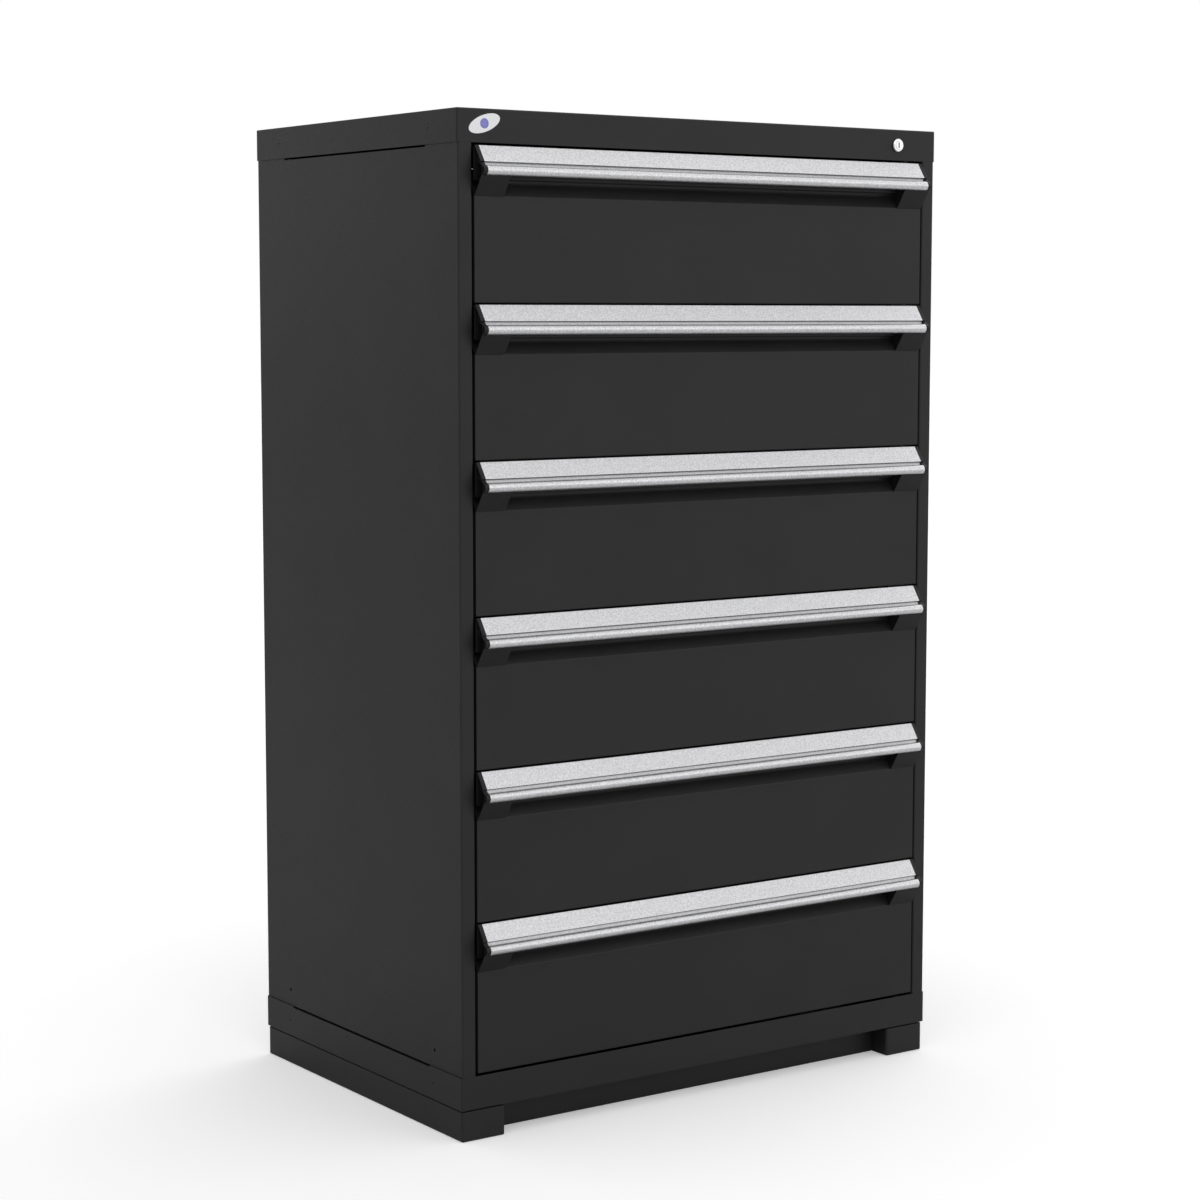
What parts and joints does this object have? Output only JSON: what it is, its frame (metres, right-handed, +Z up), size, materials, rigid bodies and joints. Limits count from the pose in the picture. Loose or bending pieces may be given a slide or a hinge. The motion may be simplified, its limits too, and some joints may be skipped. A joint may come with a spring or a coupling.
{
  "type": "drawer cabinet",
  "caption": "Tall steel cabinet on a recessed plinth, with full-width drawers on telescopic roller slides, sloping aluminium label handles and a key lock.",
  "frame": {"origin": "centre of the footprint on the floor, with the handles counted in the depth", "axes": "+Z up, drawers open towards -Y, +X to the right seen from the front"},
  "size_m": [0.9144, 0.6366, 1.524],
  "materials": {
    "powder_coat_black": "fine satin powder coat",
    "powder_coat_grey": "satin powder coat",
    "anodised_aluminium": "satin anodised",
    "black_plastic": "matt",
    "zinc_steel": "zinc plated",
    "black_oxide": "black oxide",
    "chrome": "polished",
    "badge_white": "gloss"
  },
  "bodies": {
    "cabinet": {"top_cover": "powder_coat_black", "left_side_panel": "powder_coat_black", "right_side_panel": "powder_coat_black", "back_panel": "powder_coat_black", "base_cap": "powder_coat_black", "left_plinth": "powder_coat_black", "right_plinth": "powder_coat_black", "toe_kicks": "powder_coat_black", "slide_posts": "zinc_steel", "cabinet_rails": "zinc_steel", "cover_screws": "black_oxide", "badge": "badge_white", "lock_housing": "chrome", "lock_nut": "zinc_steel", "lock_bar_guides": "black_plastic"},
    "drawer_1": {"tray_1": "powder_coat_grey", "front_1": "powder_coat_black", "handle_1": "anodised_aluminium", "end_caps_1": "black_plastic", "drawer_slides_1": "zinc_steel"},
    "middle_1": {"middle_slides_1": "zinc_steel", "rollers_1": "black_plastic"},
    "drawer_2": {"tray_2": "powder_coat_grey", "front_2": "powder_coat_black", "handle_2": "anodised_aluminium", "end_caps_2": "black_plastic", "drawer_slides_2": "zinc_steel"},
    "middle_2": {"middle_slides_2": "zinc_steel", "rollers_2": "black_plastic"},
    "drawer_3": {"tray_3": "powder_coat_grey", "front_3": "powder_coat_black", "handle_3": "anodised_aluminium", "end_caps_3": "black_plastic", "drawer_slides_3": "zinc_steel"},
    "middle_3": {"middle_slides_3": "zinc_steel", "rollers_3": "black_plastic"},
    "drawer_4": {"tray_4": "powder_coat_grey", "front_4": "powder_coat_black", "handle_4": "anodised_aluminium", "end_caps_4": "black_plastic", "drawer_slides_4": "zinc_steel"},
    "middle_4": {"middle_slides_4": "zinc_steel", "rollers_4": "black_plastic"},
    "drawer_5": {"tray_5": "powder_coat_grey", "front_5": "powder_coat_black", "handle_5": "anodised_aluminium", "end_caps_5": "black_plastic", "drawer_slides_5": "zinc_steel"},
    "middle_5": {"middle_slides_5": "zinc_steel", "rollers_5": "black_plastic"},
    "drawer_6": {"tray_6": "powder_coat_grey", "front_6": "powder_coat_black", "handle_6": "anodised_aluminium", "end_caps_6": "black_plastic", "drawer_slides_6": "zinc_steel"},
    "middle_6": {"middle_slides_6": "zinc_steel", "rollers_6": "black_plastic"},
    "key_plug": {"lock_plug": "chrome", "lock_cam": "zinc_steel"},
    "lock_strip": {"lock_bar": "zinc_steel"}
  },
  "joints": [
    {"name": "drawer_1_slide", "type": "slide", "parent": "cabinet", "child": "drawer_1", "axis": [0, -1, 0], "range_m": [0, 0.555]},
    {"name": "drawer_2_slide", "type": "slide", "parent": "cabinet", "child": "drawer_2", "axis": [0, -1, 0], "range_m": [0, 0.555]},
    {"name": "drawer_3_slide", "type": "slide", "parent": "cabinet", "child": "drawer_3", "axis": [0, -1, 0], "range_m": [0, 0.555]},
    {"name": "drawer_4_slide", "type": "slide", "parent": "cabinet", "child": "drawer_4", "axis": [0, -1, 0], "range_m": [0, 0.555]},
    {"name": "drawer_5_slide", "type": "slide", "parent": "cabinet", "child": "drawer_5", "axis": [0, -1, 0], "range_m": [0, 0.555]},
    {"name": "drawer_6_slide", "type": "slide", "parent": "cabinet", "child": "drawer_6", "axis": [0, -1, 0], "range_m": [0, 0.555]},
    {"name": "middle_1_slide", "type": "slide", "parent": "cabinet", "child": "middle_1", "axis": [0, -1, 0], "range_m": [0, 0.2775]},
    {"name": "middle_2_slide", "type": "slide", "parent": "cabinet", "child": "middle_2", "axis": [0, -1, 0], "range_m": [0, 0.2775]},
    {"name": "middle_3_slide", "type": "slide", "parent": "cabinet", "child": "middle_3", "axis": [0, -1, 0], "range_m": [0, 0.2775]},
    {"name": "middle_4_slide", "type": "slide", "parent": "cabinet", "child": "middle_4", "axis": [0, -1, 0], "range_m": [0, 0.2775]},
    {"name": "middle_5_slide", "type": "slide", "parent": "cabinet", "child": "middle_5", "axis": [0, -1, 0], "range_m": [0, 0.2775]},
    {"name": "middle_6_slide", "type": "slide", "parent": "cabinet", "child": "middle_6", "axis": [0, -1, 0], "range_m": [0, 0.2775]},
    {"name": "lock_bar_lift", "type": "slide", "parent": "cabinet", "child": "lock_strip", "axis": [0, 0, 1], "range_m": [0, 0.013]},
    {"name": "key_turn", "type": "hinge", "parent": "cabinet", "child": "key_plug", "pos_m": [0.3767, -0.2913, 1.499], "axis": [0, 1, 0], "range_deg": [0, 90]}
  ],
  "couplings": [
    {"joint": "middle_1_slide", "follows": "drawer_1_slide", "ratio": 0.5},
    {"joint": "middle_2_slide", "follows": "drawer_2_slide", "ratio": 0.5},
    {"joint": "middle_3_slide", "follows": "drawer_3_slide", "ratio": 0.5},
    {"joint": "middle_4_slide", "follows": "drawer_4_slide", "ratio": 0.5},
    {"joint": "middle_5_slide", "follows": "drawer_5_slide", "ratio": 0.5},
    {"joint": "middle_6_slide", "follows": "drawer_6_slide", "ratio": 0.5},
    {"joint": "key_turn", "follows": "lock_bar_lift", "rad_per_m": 120.8}
  ]
}
